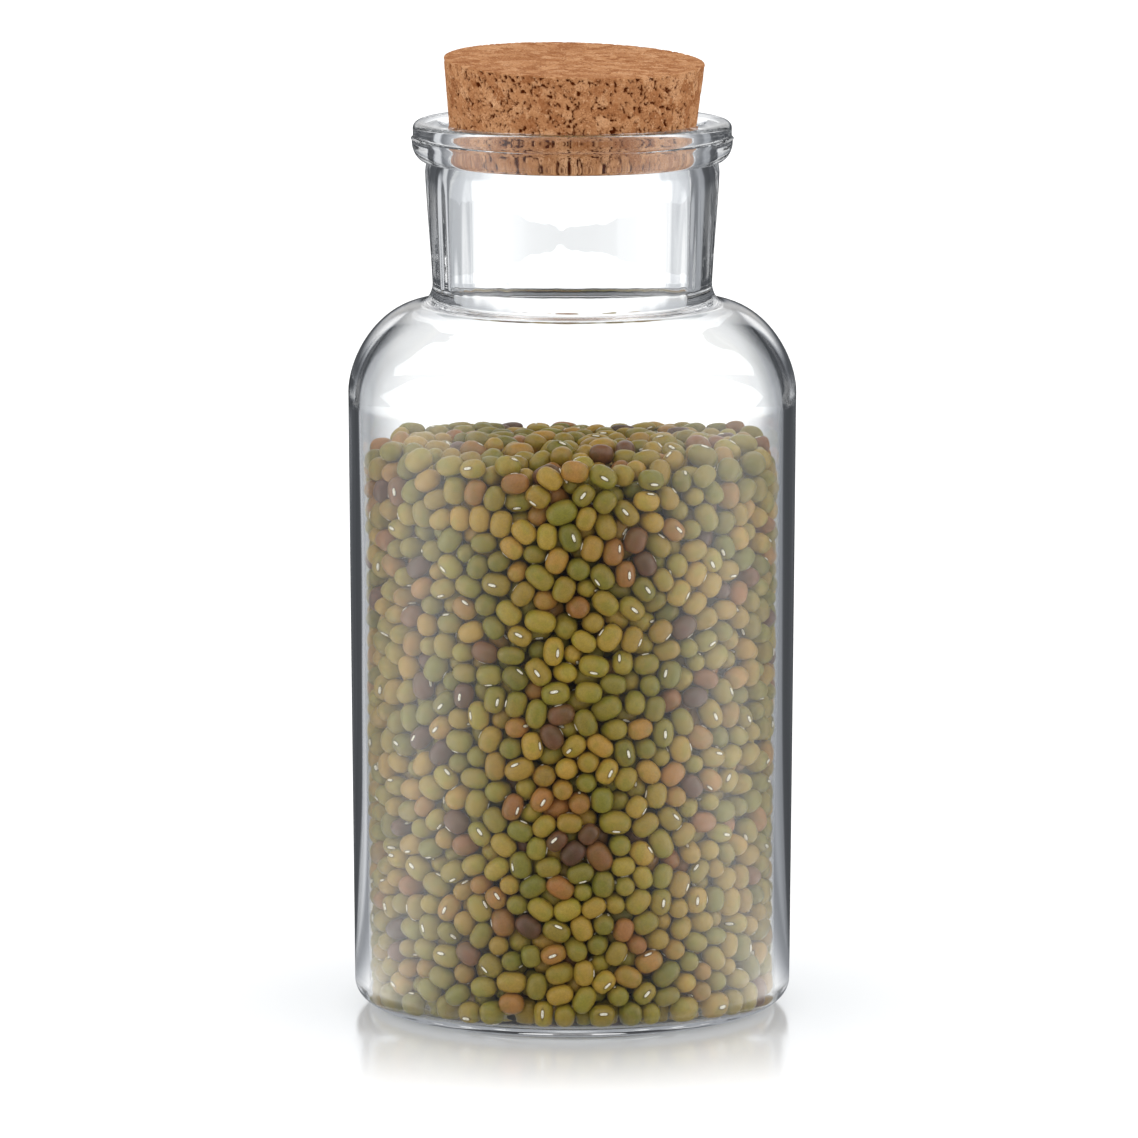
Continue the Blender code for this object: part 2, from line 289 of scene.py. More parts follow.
def bell(shader, value, middle, spread):
    """1 where value is in the middle, and less and less away from it."""
    away = shader.math("DIVIDE", shader.math("SUBTRACT", value, middle), spread)
    square = shader.math("MULTIPLY", away, away)
    return shader.math("EXPONENT", shader.math("MULTIPLY", square, -1.0))


class Surroundings:
    """Levels of the light round the jar by direction, measured from the side of the photograph.

    mirrored is what its glass mirrors, rim what it mirrors besides inside its wall, through what
    shows through it, low_through what shows there of the floor, and plain what lights everything.
    behind goes from 0 to 1 behind the jar, and height is the sine of the height.
    """

    def __init__(self, shader, direction):
        x, y, self.height = shader.add("SeparateXYZ", {"Vector": direction}).outputs
        flat = shader.math("SQRT", shader.math("ADD", shader.math("MULTIPLY", x, x),
                                               shader.math("MULTIPLY", y, y)))
        flat = shader.math("MAXIMUM", flat, 1e-4)
        cosine = shader.math("DIVIDE", shader.math("MULTIPLY", y, -1.0), flat)
        angle = shader.math("MULTIPLY", shader.math("ARCCOSINE", cosine), 180 / math.pi)
        sheen = bell(shader, angle, SHEEN_ANGLE, SHEEN_SPREAD)
        self.mirrored = shader.math("MULTIPLY_ADD", sheen, SHEEN_PEAK, SHEEN_BASE)
        rim = shader.math("MULTIPLY", shader.step(angle, RIM_START, RIM_FULL),
                          shader.step(angle, RIM_FADE, RIM_END, RIM_LEVEL, 0.0))
        aside = shader.math("DIVIDE", x, flat)
        self.rim = shader.math("MULTIPLY", rim, shader.step(
            aside, -RIM_CHANGE, RIM_CHANGE, 1.0, RIM_RIGHT))
        self.behind = shader.step(angle, BEHIND_START, BEHIND_FULL)
        pane = shader.math("PINGPONG", angle, PANE)
        off = shader.math("MINIMUM", pane, shader.math("SUBTRACT", PANE, pane))
        self.through = shader.step(off, CLEAR_HALF_ANGLE, GREY_ANGLE, CLEAR_LEVEL, GREY_THROUGH)
        self.low_through = shader.step(off, LOW_CLEAR_HALF_ANGLE, LOW_GREY_ANGLE,
                                       CLEAR_LEVEL, LOW_GREY_THROUGH)
        side = bell(shader, angle, SIDE_ANGLE, SIDE_SPREAD)
        plain = shader.math("MULTIPLY_ADD", side, SIDE_LEVEL, SKY_LEVEL)
        top = shader.step(self.height, TOP_START, TOP_FULL)
        self.plain = shader.math("MULTIPLY_ADD", top, TOP_LEVEL, plain)


def tinted(shader, level, plain):
    """White light of a level, or, where plain is 0, bluer the darker it is."""
    pale = shader.math("MAXIMUM", plain, level, clamp=True)
    return shader.mix(pale, GREY_TINT, (1.0, 1.0, 1.0))


def ray_kinds(shader):
    """Light Path as five numbers, 0 or 1.

    They tell what the camera sees, what the glass mirrors outside and inside its wall, what shows
    through it, and the last three together.
    """
    path = shader.add("LightPath").outputs
    camera = path["Is Camera Ray"]
    passed = path["Is Transmission Ray"]
    bounced_inside = shader.math("GREATER_THAN", path["Glossy Depth"], 0.5)
    inside = shader.math("MULTIPLY", passed, bounced_inside)
    through = shader.math("SUBTRACT", passed, inside)
    outside = shader.math("SUBTRACT", path["Is Glossy Ray"], passed, clamp=True)
    in_glass = shader.math("MAXIMUM", passed, outside)
    return camera, outside, inside, through, in_glass


def make_world():
    world = bpy.data.worlds.new("studio")
    bpy.context.scene.world = world
    world.use_nodes = True
    shader = Shader(world.node_tree)
    light = Surroundings(shader, shader.add("TexCoord").outputs["Generated"])
    camera, outside, inside, through, in_glass = ray_kinds(shader)
    background = shader.math("MULTIPLY", light.behind, shader.step(
        light.height, 0.0, BEHIND_RISE, BEHIND_LOW, 1.0))
    mirrored = shader.math("ADD", light.mirrored, background)
    high = shader.step(light.height, HIGH_START, HIGH_FULL)
    level = shader.choose(outside, light.plain, shader.choose(high, mirrored, HIGH_LEVEL))
    mirrored = shader.math("ADD", mirrored, light.rim)
    level = shader.choose(inside, level, shader.choose(high, mirrored, 1.0))
    level = shader.choose(through, level, light.through)
    level = shader.choose(camera, level, 1.0)
    colour = tinted(shader, level, shader.math("SUBTRACT", 1.0, in_glass))
    shader.finish(shader.add("Background", {"Color": colour, "Strength": level}), "OutputWorld")


def floor_share(shader, light, through, away):
    """Share of the floor's light that is seen, which is less where it shows through the glass."""
    low = shader.math("MULTIPLY", shader.step(away, LOW_START, LOW_FULL),
                      shader.step(away, LOW_NEAR, LOW_FAR, 1.0, 0.0))
    return shader.choose(through, 1.0, shader.choose(low, light.through, light.low_through))


def mirrored_floor(shader, light, inside, away):
    """Level of the floor as the glass mirrors it."""
    mirrored = shader.math("MULTIPLY_ADD", light.behind, BEHIND_LOW, light.mirrored)
    mirrored = shader.math("MULTIPLY_ADD", inside, light.rim, mirrored)
    near = shader.step(away, NEAR_FLOOR, FAR_FLOOR, 1.0, 0.0)
    return shader.choose(near, mirrored, NEAR_FLOOR_LEVEL)


def floor_material():
    """Pale and matt, with a glow that makes it white away from the jar and is left out round its
    foot as a painted shadow, and gloss close to it.
    """
    material, shader = new_material("pale_floor")
    place = shader.add("NewGeometry").outputs["Position"]
    light = Surroundings(shader, place)
    camera, outside, inside, through, in_glass = ray_kinds(shader)
    away = shader.vector("LENGTH", place)
    mirrored = mirrored_floor(shader, light, inside, away)
    share = floor_share(shader, light, through, away)
    aside = shader.vector("LENGTH", shader.vector("MULTIPLY", place, FLOOR_PAINTED_SHADOW_STRETCH))
    # painted shadow: the floor's glow fades out towards the jar, so the floor is darker round its
    # foot
    glow = shader.step(aside, FLOOR_PAINTED_SHADOW_INNER, FLOOR_PAINTED_SHADOW_OUTER, 0.0, FLOOR_GLOW)
    glow = shader.math("MULTIPLY", shader.math("MAXIMUM", camera, through), glow)
    shown = shader.math("MAXIMUM", outside, inside)
    level = shader.choose(shown, shader.math("MULTIPLY", share, glow), mirrored)
    colour = shader.math("MULTIPLY", shader.math("SUBTRACT", 1.0, shown),
                         shader.math("MULTIPLY", share, FLOOR_COLOUR))
    tint = tinted(shader, shader.choose(shown, share, mirrored),
                  shader.math("SUBTRACT", 1.0, in_glass))
    matt = shader.add("BsdfDiffuse", {
        "Color": shader.mix(1.0, shader.grey(colour), tint, "MULTIPLY")})
    shine = shader.add("Emission", {"Color": tint, "Strength": level})
    both = shader.blend("AddShader", matt.outputs[0], shine.outputs[0])
    gloss = shader.add("BsdfGlossy", {"Color": FLOOR_GLOSS_COLOUR, "Roughness": FLOOR_ROUGHNESS})
    glossy = shader.step(away, FLOOR_GLOSS_NEAR, FLOOR_GLOSS_FAR, FLOOR_GLOSS, 0.0)
    shader.finish(shader.blend("MixShader", shader.math("MULTIPLY", camera, glossy),
                               both.outputs[0], gloss.outputs[0]))
    return material


def make_floor():
    bpy.ops.mesh.primitive_plane_add(size=2 * FLOOR_HALF)
    floor = bpy.context.object
    floor.name = "floor"
    floor.data.materials.append(floor_material())


def section(node):
    """Points (radius, height) of a turned CAD node's outline, in order from its upper end."""
    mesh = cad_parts[node].data
    flat = 1e-6
    key = {}
    for vertex in mesh.vertices:
        x, y, z = vertex.co
        if abs(y) < flat and x > -flat:
            key[vertex.index] = (round(max(x, 0.0), 6), round(z, 6))
    linked = {}
    for edge in mesh.edges:
        first, second = (key.get(index) for index in edge.vertices)
        if first and second and first != second:
            linked.setdefault(first, set()).add(second)
            linked.setdefault(second, set()).add(first)
    ends = [point for point in linked if len(linked[point]) == 1]
    outline, last = [max(ends, key=lambda point: point[1])], None
    while True:
        ahead = [point for point in linked[outline[-1]] if point != last]
        if not ahead:
            return np.array(outline)
        last = outline[-1]
        outline.append(ahead[0])


def smooth_section(points, longest, corner, shortest_parts=2):
    """The same outline with a smooth curve through its points, but for its sharp corners."""
    steps = np.diff(points, axis=0)
    lengths = np.linalg.norm(steps, axis=1)
    ways = steps / lengths[:, None]
    out = [points[0]]
    for index in range(len(steps)):
        tangents = [ways[index], ways[index]]
        for side, other in ((0, index - 1), (1, index + 1)):
            if 0 <= other < len(steps):
                cosine = float(np.clip(ways[index] @ ways[other], -1, 1))
                if math.acos(cosine) < corner:
                    mean = steps[index] + steps[other]
                    tangents[side] = mean / np.linalg.norm(mean)
        parts = max(shortest_parts, math.ceil(lengths[index] / longest))
        for part in range(1, parts + 1):
            t = part / parts
            out.append((2 * t**3 - 3 * t**2 + 1) * points[index]
                       + (3 * t**2 - 2 * t**3) * points[index + 1]
                       + (t**3 - 2 * t**2 + t) * tangents[0] * lengths[index]
                       + (t**3 - t**2) * tangents[1] * lengths[index])
    return np.array(out)


def mesh_from_arrays(name, points, corners, starts):
    """A mesh from vertex places, the vertices of all faces in a row, and where each face starts."""
    mesh = bpy.data.meshes.new(name)
    mesh.vertices.add(len(points))
    mesh.vertices.foreach_set("co", np.asarray(points, np.float32).ravel())
    mesh.loops.add(len(corners))
    mesh.loops.foreach_set("vertex_index", np.asarray(corners, np.int32))
    mesh.polygons.add(len(starts))
    mesh.polygons.foreach_set("loop_start", np.asarray(starts, np.int32))
    mesh.update(calc_edges=True)
    mesh.validate()
    mesh.shade_smooth()
    return mesh


def turned_faces(rows, around):
    """Faces of a closed turned grid: a pole, rows of points from top to bottom, and a pole."""
    triangles = []
    bottom = 1 + (rows - 1) * around
    for step in range(around):
        after = (step + 1) % around
        triangles.append((0, 1 + step, 1 + after))
        triangles.append((1 + rows * around, bottom + after, bottom + step))
    row = np.arange(rows - 1)[:, None] * around + 1
    step = np.arange(around)[None, :]
    after = (step + 1) % around
    quads = np.stack([row + step, row + around + step, row + around + after, row + after], -1)
    return np.array(triangles), quads.reshape(-1, 4)


def turned_mesh(name, profile, around, move=None):
    """A closed body turned about Z from a profile that starts and ends on the axis.

    move takes radius, height and angle arrays and gives the moved radius and height.
    """
    angle = np.arange(around) * math.tau / around
    radius, height = profile[1:-1, 0][:, None], profile[1:-1, 1][:, None]
    radius, height, turn = np.broadcast_arrays(radius, height, angle[None, :])
    if move:
        radius, height = move(radius, height, turn)
    ring = np.stack([radius * np.cos(turn), radius * np.sin(turn), height], -1).reshape(-1, 3)
    points = np.concatenate([[[0, 0, profile[0, 1]]], ring, [[0, 0, profile[-1, 1]]]])
    triangles, quads = turned_faces(len(profile) - 2, around)
    corners = np.concatenate([triangles.ravel(), quads.ravel()])
    starts = np.concatenate([np.arange(len(triangles)) * 3,
                             len(triangles) * 3 + np.arange(len(quads)) * 4])
    return mesh_from_arrays(name, points, corners, starts)


def add_piece(name, mesh, body):
    piece = bpy.data.objects.new(name, mesh)
    bpy.context.scene.collection.objects.link(piece)
    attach(piece, body)
    return piece


def glass_material():
    """Clear glass that lets the light of the surroundings through to what is inside."""
    material, shader = new_material("clear_glass")
    body = shader.add("BsdfPrincipled", {
        "Base Color": GLASS_COLOUR, "Roughness": 0.0, "IOR": GLASS_IOR, "Transmission Weight": 1.0})
    clear = shader.add("BsdfTransparent", {"Color": GLASS_SHADOW_COLOUR})
    path = shader.add("LightPath").outputs
    lit = shader.math("MAXIMUM", path["Is Shadow Ray"], path["Is Diffuse Ray"])
    shader.finish(shader.blend("MixShader", lit, body.outputs[0], clear.outputs[0]))
    return material


def ripple(turn, height, waves, rng):
    """A sum of waves round the jar that drift slowly along its height, between about -1 and 1."""
    total = 0.0
    for count, share in waves:
        drift, phase = rng.uniform(-WAVE_DRIFT, WAVE_DRIFT), rng.uniform(0, math.tau)
        pace, start = rng.uniform(*WAVE_SWELL_PACE), rng.uniform(0, math.tau)
        swell = 1 + WAVE_SWELL * np.sin(height * pace + start)
        total = total + share * swell * np.sin(count * turn + drift * height + phase)
    return total


def make_glass():
    """The jar's section from the frame, smoothed and turned finely, with a slightly wavy inside."""
    outline = section("glass_jar")
    profile = smooth_section(outline, GLASS_STEP, GLASS_CORNER)
    profile[:, 1] = np.maximum(profile[:, 1], outline[:, 1].min())
    inner_rows = int(np.argmax(profile[:, 1])) - RIM_ROWS
    rng = np.random.default_rng(SEED)

    def move(radius, height, turn):
        body = RIPPLE_DEPTH * ripple(turn, height, BODY_WAVES, rng)
        neck = NECK_RIPPLE_DEPTH * ripple(turn, height, NECK_WAVES, rng)
        rise = (np.clip((height - NECK_LOW) / NECK_FADE, 0, 1)
                * np.clip((NECK_HIGH - height) / NECK_FADE, 0, 1))
        inside = np.arange(radius.shape[0])[:, None] < inner_rows
        clear_of_floor = np.clip((height - FLAT_BELOW) / FLAT_FADE, 0, 1)
        return radius + (body * (1 - rise) + neck * rise) * clear_of_floor * inside, height

    mesh = turned_mesh("glass", profile, GLASS_TURN_STEPS, move)
    glass = add_piece("glass_jar_shell", mesh, "jar")
    mesh.materials.append(glass_material())
    mesh.set_sharp_from_angle(angle=GLASS_CORNER)
    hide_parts("glass_jar")


def heap_walls():
    """The floor's outline, and inward planes (a radius and height, and a normal) for the sides."""
    outline = section("glass_jar")
    above = int(np.argmax(outline[:, 1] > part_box("bean_fill")[1].z))
    foot = int(np.argmin(outline[:above, 1]))
    points = outline[foot:above + 1]
    ways = np.diff(points, axis=0)
    ways /= np.linalg.norm(ways, axis=1)[:, None]
    normals = np.stack([-ways[:, 1], ways[:, 0]], -1)
    return outline[:foot + 1] + (0.0, BEAN_GAP), points[:-1] + BEAN_GAP * normals, normals


def neighbours(points, reach):
    """Pairs of points closer than reach, found in a grid of cells of that size."""
    cell = np.floor((points - points.min(0)) / reach).astype(np.int64) + 1
    size = cell.max(0) + 2
    number = (cell[:, 2] * size[1] + cell[:, 1]) * size[0] + cell[:, 0]
    order = np.argsort(number, kind="stable")
    ranked = number[order]
    first, second = [], []
    half = [(dx, dy, dz) for dz in (-1, 0, 1) for dy in (-1, 0, 1) for dx in (-1, 0, 1)
            if (dz, dy, dx) >= (0, 0, 0)]
    for dx, dy, dz in half:
        wanted = number + (dz * size[1] + dy) * size[0] + dx
        low = np.searchsorted(ranked, wanted, "left")
        count = np.searchsorted(ranked, wanted, "right") - low
        one = np.repeat(np.arange(len(points)), count)
        skip = np.repeat(np.cumsum(count) - count, count)
        two = order[np.repeat(low, count) + np.arange(len(one)) - skip]
        if (dx, dy, dz) == (0, 0, 0):
            keep = one < two
            one, two = one[keep], two[keep]
        first.append(one)
        second.append(two)
    first, second = np.concatenate(first), np.concatenate(second)
    near = ((points[first] - points[second]) ** 2).sum(1) < reach**2
    return first[near], second[near]


class Heap:
    """Beans as pairs of balls, pushed apart and kept in the jar until they lie still."""

    def __init__(self, count, rng):
        self.rng = rng
        low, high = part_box("bean_fill")
        self.level = high.z
        self.floor, self.wall_points, self.wall_normals = heap_walls()
        self.half_width = BEAN_HALF_WIDTH * self.spread(count)
        longer = 1 + BEAN_ARM_SPREAD * (self.spread(count) - 1)
        self.reach = np.clip((BEAN_HALF_LENGTH - BEAN_HALF_WIDTH) * longer, *BEAN_ARM_LIMITS)
        self.centre = self.scatter(count, low, high)
        axis = rng.normal(size=(count, 3))
        self.axis = axis / np.linalg.norm(axis, axis=1)[:, None]

    def spread(self, count):
        return 1 + np.clip(self.rng.normal(0, BEAN_SPREAD_SHARE, count),
                           -BEAN_SPREAD_LIMIT, BEAN_SPREAD_LIMIT)

    def scatter(self, count, low, high):
        """Places all over the heap."""
        radius = (high.x - BEAN_HALF_WIDTH) * np.sqrt(self.rng.uniform(size=count))
        turn = self.rng.uniform(0, math.tau, count)
        height = self.rng.uniform(low.z + BEAN_HALF_WIDTH, high.z - BEAN_HALF_WIDTH, count)
        return np.stack([radius * np.cos(turn), radius * np.sin(turn), height], -1)

    def balls(self):
        arm = self.axis * self.reach[:, None]
        return np.concatenate([self.centre + arm, self.centre - arm])

    def contacts(self, balls, scale):
        """How far each ball is pushed by its neighbours, averaged over those that touch it."""
        first, second = self.pairs
        gap = balls[second] - balls[first]
        distance = np.sqrt((gap**2).sum(1)) + 1e-9
        radii = np.concatenate([self.half_width, self.half_width])
        overlap = scale * (radii[first] + radii[second]) - distance
        hit = overlap > 0
        first, second = first[hit], second[hit]
        push = gap[hit] * (0.5 * overlap[hit] / distance[hit])[:, None]
        both = np.concatenate([first, second])
        number = np.bincount(both, minlength=len(balls))
        moves = np.stack([
            np.bincount(both, np.concatenate([-push[:, k], push[:, k]]), len(balls))
            for k in range(3)], -1)
        return moves / np.sqrt(np.maximum(number, 1))[:, None]

    def keep_in(self, balls, scale, lid):
        """Moves balls out of the wall, the floor and, where there is one, the lid."""
        radii = scale * np.concatenate([self.half_width, self.half_width])
        for _ in range(2):
            across = np.hypot(balls[:, 0], balls[:, 1]) + 1e-9
            flat = np.stack([across, balls[:, 2]], -1)
            inward = ((flat[:, None, :] - self.wall_points[None]) * self.wall_normals[None]).sum(-1)
            nearest = np.argmin(inward, 1)
            short = np.maximum(radii - inward[np.arange(len(balls)), nearest], 0)
            move = self.wall_normals[nearest] * short[:, None]
            balls[:, :2] += balls[:, :2] / across[:, None] * move[:, :1]
            floor = np.interp(across, self.floor[:, 0], self.floor[:, 1])
            balls[:, 2] = np.maximum(balls[:, 2] + move[:, 1], floor + radii)
        if lid:
            balls[:, 2] = np.minimum(balls[:, 2], self.level + LID_RISE - radii)
        return balls

    def relax(self, steps, scales, fall, lid):
        """Grows the beans from one scale to another, while those on top may fall."""
        for step in range(steps):
            scale = scales[0] + (scales[1] - scales[0]) * step / max(steps - 1, 1)
            loose = self.centre[:, 2] > self.level - TOP_LOOSE_DEPTH
            self.centre[loose, 2] -= fall
            self.centre[:, 2] -= BEAN_FALL
            balls = self.balls()
            if step % PAIR_STEPS == 0:
                first, second = neighbours(balls, PAIR_REACH)
                apart = first % len(self.centre) != second % len(self.centre)
                self.pairs = first[apart], second[apart]
            balls = balls + self.contacts(balls, scale)
            balls = self.keep_in(balls, scale, lid)
            count = len(self.centre)
            self.centre = (balls[:count] + balls[count:]) / 2
            arm = balls[:count] - balls[count:]
            self.axis = arm / (np.linalg.norm(arm, axis=1)[:, None] + 1e-9)

    def settle(self):
        """Grows the beans under a lid, then lets the top ones fall, until they lie still."""
        grow, rest, fall = ((200, 120, 100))
        self.relax(grow, (START_SCALE, 1.0), 0.0, lid=True)
        self.relax(rest, (1.0, 1.0), 0.0, lid=True)
        self.relax(fall, (1.0, 1.0), TOP_FALL, lid=False)
        self.relax(rest // 3, (1.0, 1.0), 0.0, lid=False)


def bean_form(around, rings, fullness):
    """A bean of half length and half width 1 along X: its points, and its faces as three arrays."""
    theta = np.arange(1, rings) * math.pi / rings
    power = 2 / fullness
    along = np.sign(np.cos(theta)) * np.abs(np.cos(theta)) ** power
    out = np.sin(theta) ** power
    phi = np.arange(around) * math.tau / around
    ring = np.stack(np.broadcast_arrays(
        along[:, None], out[:, None] * np.cos(phi), out[:, None] * np.sin(phi)), -1).reshape(-1, 3)
    points = np.concatenate([[[1.0, 0, 0]], ring, [[-1.0, 0, 0]]])
    triangles, quads = turned_faces(rings - 1, around)
    return points, triangles[:, ::-1], quads[:, ::-1]


class Beans:
    """Builds meshes of many beans from the settled heap."""

    def __init__(self, heap):
        self.heap = heap
        rng = np.random.default_rng(SEED + 1)
        count = len(heap.centre)
        self.kind = rng.uniform(size=count)
        self.shade = rng.uniform(size=count)
        other = np.cross(heap.axis, rng.normal(size=(count, 3)))
        self.side = other / np.linalg.norm(other, axis=1)[:, None]
        self.up = np.cross(heap.axis, self.side)
        self.flat = rng.uniform(0.0, BEAN_FLATNESS, count)
        self.half_length = heap.reach + heap.half_width
        self.half_width = heap.half_width

    def spots(self, form, chosen, scale, offset=0.0):
        """World places and bean-space places of a form on each chosen bean."""
        local = form[None] * scale[:, None, :]
        local[..., 1] += offset
        heap = self.heap
        world = heap.centre[chosen][:, None, :] + (
            local[..., :1] * heap.axis[chosen][:, None, :]
            + local[..., 1:2] * self.side[chosen][:, None, :]
            + local[..., 2:] * self.up[chosen][:, None, :])
        return world, local

    def mesh(self, name, chosen, around, rings, with_hilum):
        """One mesh of the chosen beans, with the pale scars on their sides where wanted."""
        width = self.half_width[chosen]
        scale = np.stack([self.half_length[chosen], width * (1 - 0.4 * self.flat[chosen]),
                          width * (1 - self.flat[chosen])], -1)
        parts = [(bean_form(around, rings, BEAN_FULLNESS), scale, 0.0)]
        if with_hilum:
            size = np.array([HILUM_HALF_LENGTH, HILUM_HEIGHT, HILUM_HALF_WIDTH])
            parts.append((bean_form(8, 6, HILUM_FULLNESS), np.broadcast_to(size, scale.shape),
                          (scale[:, 1] - HILUM_SUNK)[:, None]))
        points, corners, starts, place, bean, slot = [], [], [], [], [], []
        first_point = first_corner = 0
        for index, ((form, triangles, quads), size, offset) in enumerate(parts):
            world, local = self.spots(form, chosen, size, offset)
            base = first_point + np.arange(len(chosen))[:, None, None] * len(form)
            faces = [(triangles[None] + base).reshape(-1, 3), (quads[None] + base).reshape(-1, 4)]
            for face in faces:
                starts.append(first_corner + np.arange(len(face)) * face.shape[1])
                corners.append(face.ravel())
                slot.append(np.full(len(face), index))
                first_corner += face.size
            points.append(world.reshape(-1, 3))
            place.append(local.reshape(-1, 3) / MM)
            bean.append(np.repeat(chosen, len(form)))
            first_point += points[-1].shape[0]
        mesh = mesh_from_arrays(name, np.concatenate(points), np.concatenate(corners),
                                np.concatenate(starts))
        mesh.polygons.foreach_set("material_index", np.concatenate(slot).astype(np.int32))
        bean = np.concatenate(bean)
        store(mesh, "bean_place", "FLOAT_VECTOR", np.concatenate(place))
        store(mesh, "bean_kind", "FLOAT", self.kind[bean])
        store(mesh, "bean_shade", "FLOAT", self.shade[bean])
        return mesh


def store(mesh, name, kind, values):
    """Keeps a value for each point of a mesh under a name that its material reads."""
    attribute = mesh.attributes.new(name, kind, "POINT")
    key = "vector" if kind == "FLOAT_VECTOR" else "value"
    attribute.data.foreach_set(key, np.asarray(values, np.float32).ravel())


def bean_material():
    material, shader = new_material("mung_beans")
    kind = shader.add("Attribute", attribute_name="bean_kind").outputs["Fac"]
    shade = shader.add("Attribute", attribute_name="bean_shade").outputs["Fac"]
    place = shader.add("Attribute", attribute_name="bean_place").outputs["Vector"]
    own = shader.vector("ADD", place, shader.vector("MULTIPLY", (9.0, 7.0, 5.0), shader.add(
        "CombineXYZ", {"X": kind, "Y": shade, "Z": kind}).outputs[0]))
    broad = shader.add("TexNoise", {"Vector": own, "Scale": 0.35, "Detail": 2.0}).outputs[0]
    fine = shader.add("TexNoise", {"Vector": own, "Scale": 2.4, "Detail": 4.0}).outputs[0]
    skin = shader.ramp(kind, BEAN_KINDS)
    greener = shader.mix(1.0, skin, (0.85, 0.97, 0.76), "MULTIPLY")
    skin = shader.mix(shader.step(broad, 0.42, 0.62), skin, greener)
    level = shader.choose(shade, 0.84, 1.16)
    level = shader.math("MULTIPLY", level, shader.step(fine, 0.3, 0.7, 0.90, 1.08))
    skin = shader.mix(1.0, skin, shader.grey(level), "MULTIPLY")
    split = shader.add("SeparateXYZ", {"Vector": place}).outputs
    along = shader.math("DIVIDE", split[0], HILUM_HALF_LENGTH / MM)
    across = shader.math("DIVIDE", split[2], HILUM_HALF_WIDTH / MM)
    oval = shader.math("SQRT", shader.math("ADD", shader.math("MULTIPLY", along, along),
                                           shader.math("MULTIPLY", across, across)))
    front = shader.math("GREATER_THAN", split[1], 0.0)
    rim = shader.math("MULTIPLY", front, shader.step(oval, 1.1, 1.9, 0.55, 0.0))
    skin = shader.mix(rim, skin, srgb(58, 40, 26))
    bump = shader.add("Bump", {"Height": fine, "Strength": 0.12, "Distance": 0.05 * MM})
    shader.finish(shader.add("BsdfPrincipled", {
        "Base Color": skin, "Roughness": 0.32, "Specular IOR Level": 0.6,
        "Normal": bump.outputs[0]}))
    return material


def hilum_material():
    material, shader = new_material("bean_hilum")
    place = shader.add("Attribute", attribute_name="bean_place").outputs["Vector"]
    grain = shader.add("TexNoise", {"Vector": place, "Scale": 3.0, "Detail": 3.0}).outputs[0]
    colour = shader.mix(shader.step(grain, 0.35, 0.65), srgb(226, 216, 190), srgb(250, 246, 232))
    shader.finish(shader.add("BsdfPrincipled", {"Base Color": colour, "Roughness": 0.45}))
    return material


def make_beans():
    """The heap as single beans: fine ones near the glass and on top, plainer ones inside."""
    heap = Heap(BEAN_COUNT, np.random.default_rng(SEED))
    heap.settle()
    beans = Beans(heap)
    low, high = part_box("bean_fill")
    across = np.hypot(heap.centre[:, 0], heap.centre[:, 1])
    depth = np.minimum(np.minimum(high.x - across, high.z - heap.centre[:, 2]),
                       heap.centre[:, 2] - low.z)
    materials = [bean_material(), hilum_material()]
    order = np.argsort(depth, kind="stable")
    outer, inner = order[depth[order] < FINE_DEPTH], order[depth[order] >= FINE_DEPTH]
    groups = [("beans_outer", part, 16, 10, True) for part in np.array_split(
        outer, math.ceil(len(outer) / FINE_BEANS_A_PIECE))]
    groups += [("beans_inner", part, 10, 6, False) for part in np.array_split(
        inner, math.ceil(len(inner) / PLAIN_BEANS_A_PIECE))]
    for number, (name, chosen, around, rings, with_hilum) in enumerate(groups, 1):
        mesh = beans.mesh(name, chosen, around, rings, with_hilum)
        for material in materials:
            mesh.materials.append(material)
        piece = add_piece(f"{name}_{number}", mesh, "jar")
        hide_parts("bean_fill")


def stopper_frame():
    """The stopper's middle, its axis pointing up, and its section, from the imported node.

    They come from its volume, because the node's triangles don't lie evenly round it.
    """
    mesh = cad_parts["cork_stopper"].data
    mesh.calc_loop_triangles()
    points = np.array([vertex.co for vertex in mesh.vertices])
    corners = points[[list(triangle.vertices) for triangle in mesh.loop_triangles]]
    sixfold = np.einsum("ij,ij->i", corners[:, 0], np.cross(corners[:, 1], corners[:, 2]))
    middle = (sixfold[:, None] * corners.sum(1)).sum(0) / sixfold.sum() / 4
    corners = corners - middle
    sixfold = np.einsum("ij,ij->i", corners[:, 0], np.cross(corners[:, 1], corners[:, 2]))
    total = corners.sum(1)
    spread = (np.einsum("i,ij,ik->jk", sixfold, total, total)
              + np.einsum("i,inj,ink->jk", sixfold, corners, corners))
    _, ways = np.linalg.eigh(spread)
    axis = ways[:, np.argmax(np.abs(ways[2]))]
    axis = axis * np.sign(axis[2])
    along = (points - middle) @ axis
    across = np.linalg.norm(points - middle - along[:, None] * axis, axis=1)
    rings = {(round(float(r), 5), round(float(z), 5)) for r, z in zip(across, along)}
    rings = sorted((ring for ring in rings if ring[0] > MM),
                   key=lambda ring: -math.atan2(ring[1], ring[0]))
    outline = [(0.0, rings[0][1]), *rings, (0.0, rings[-1][1])]
    return Vector(middle), Vector(axis), np.array(outline)


def clamp(value):
    return min(max(value, 0.0), 1.0)


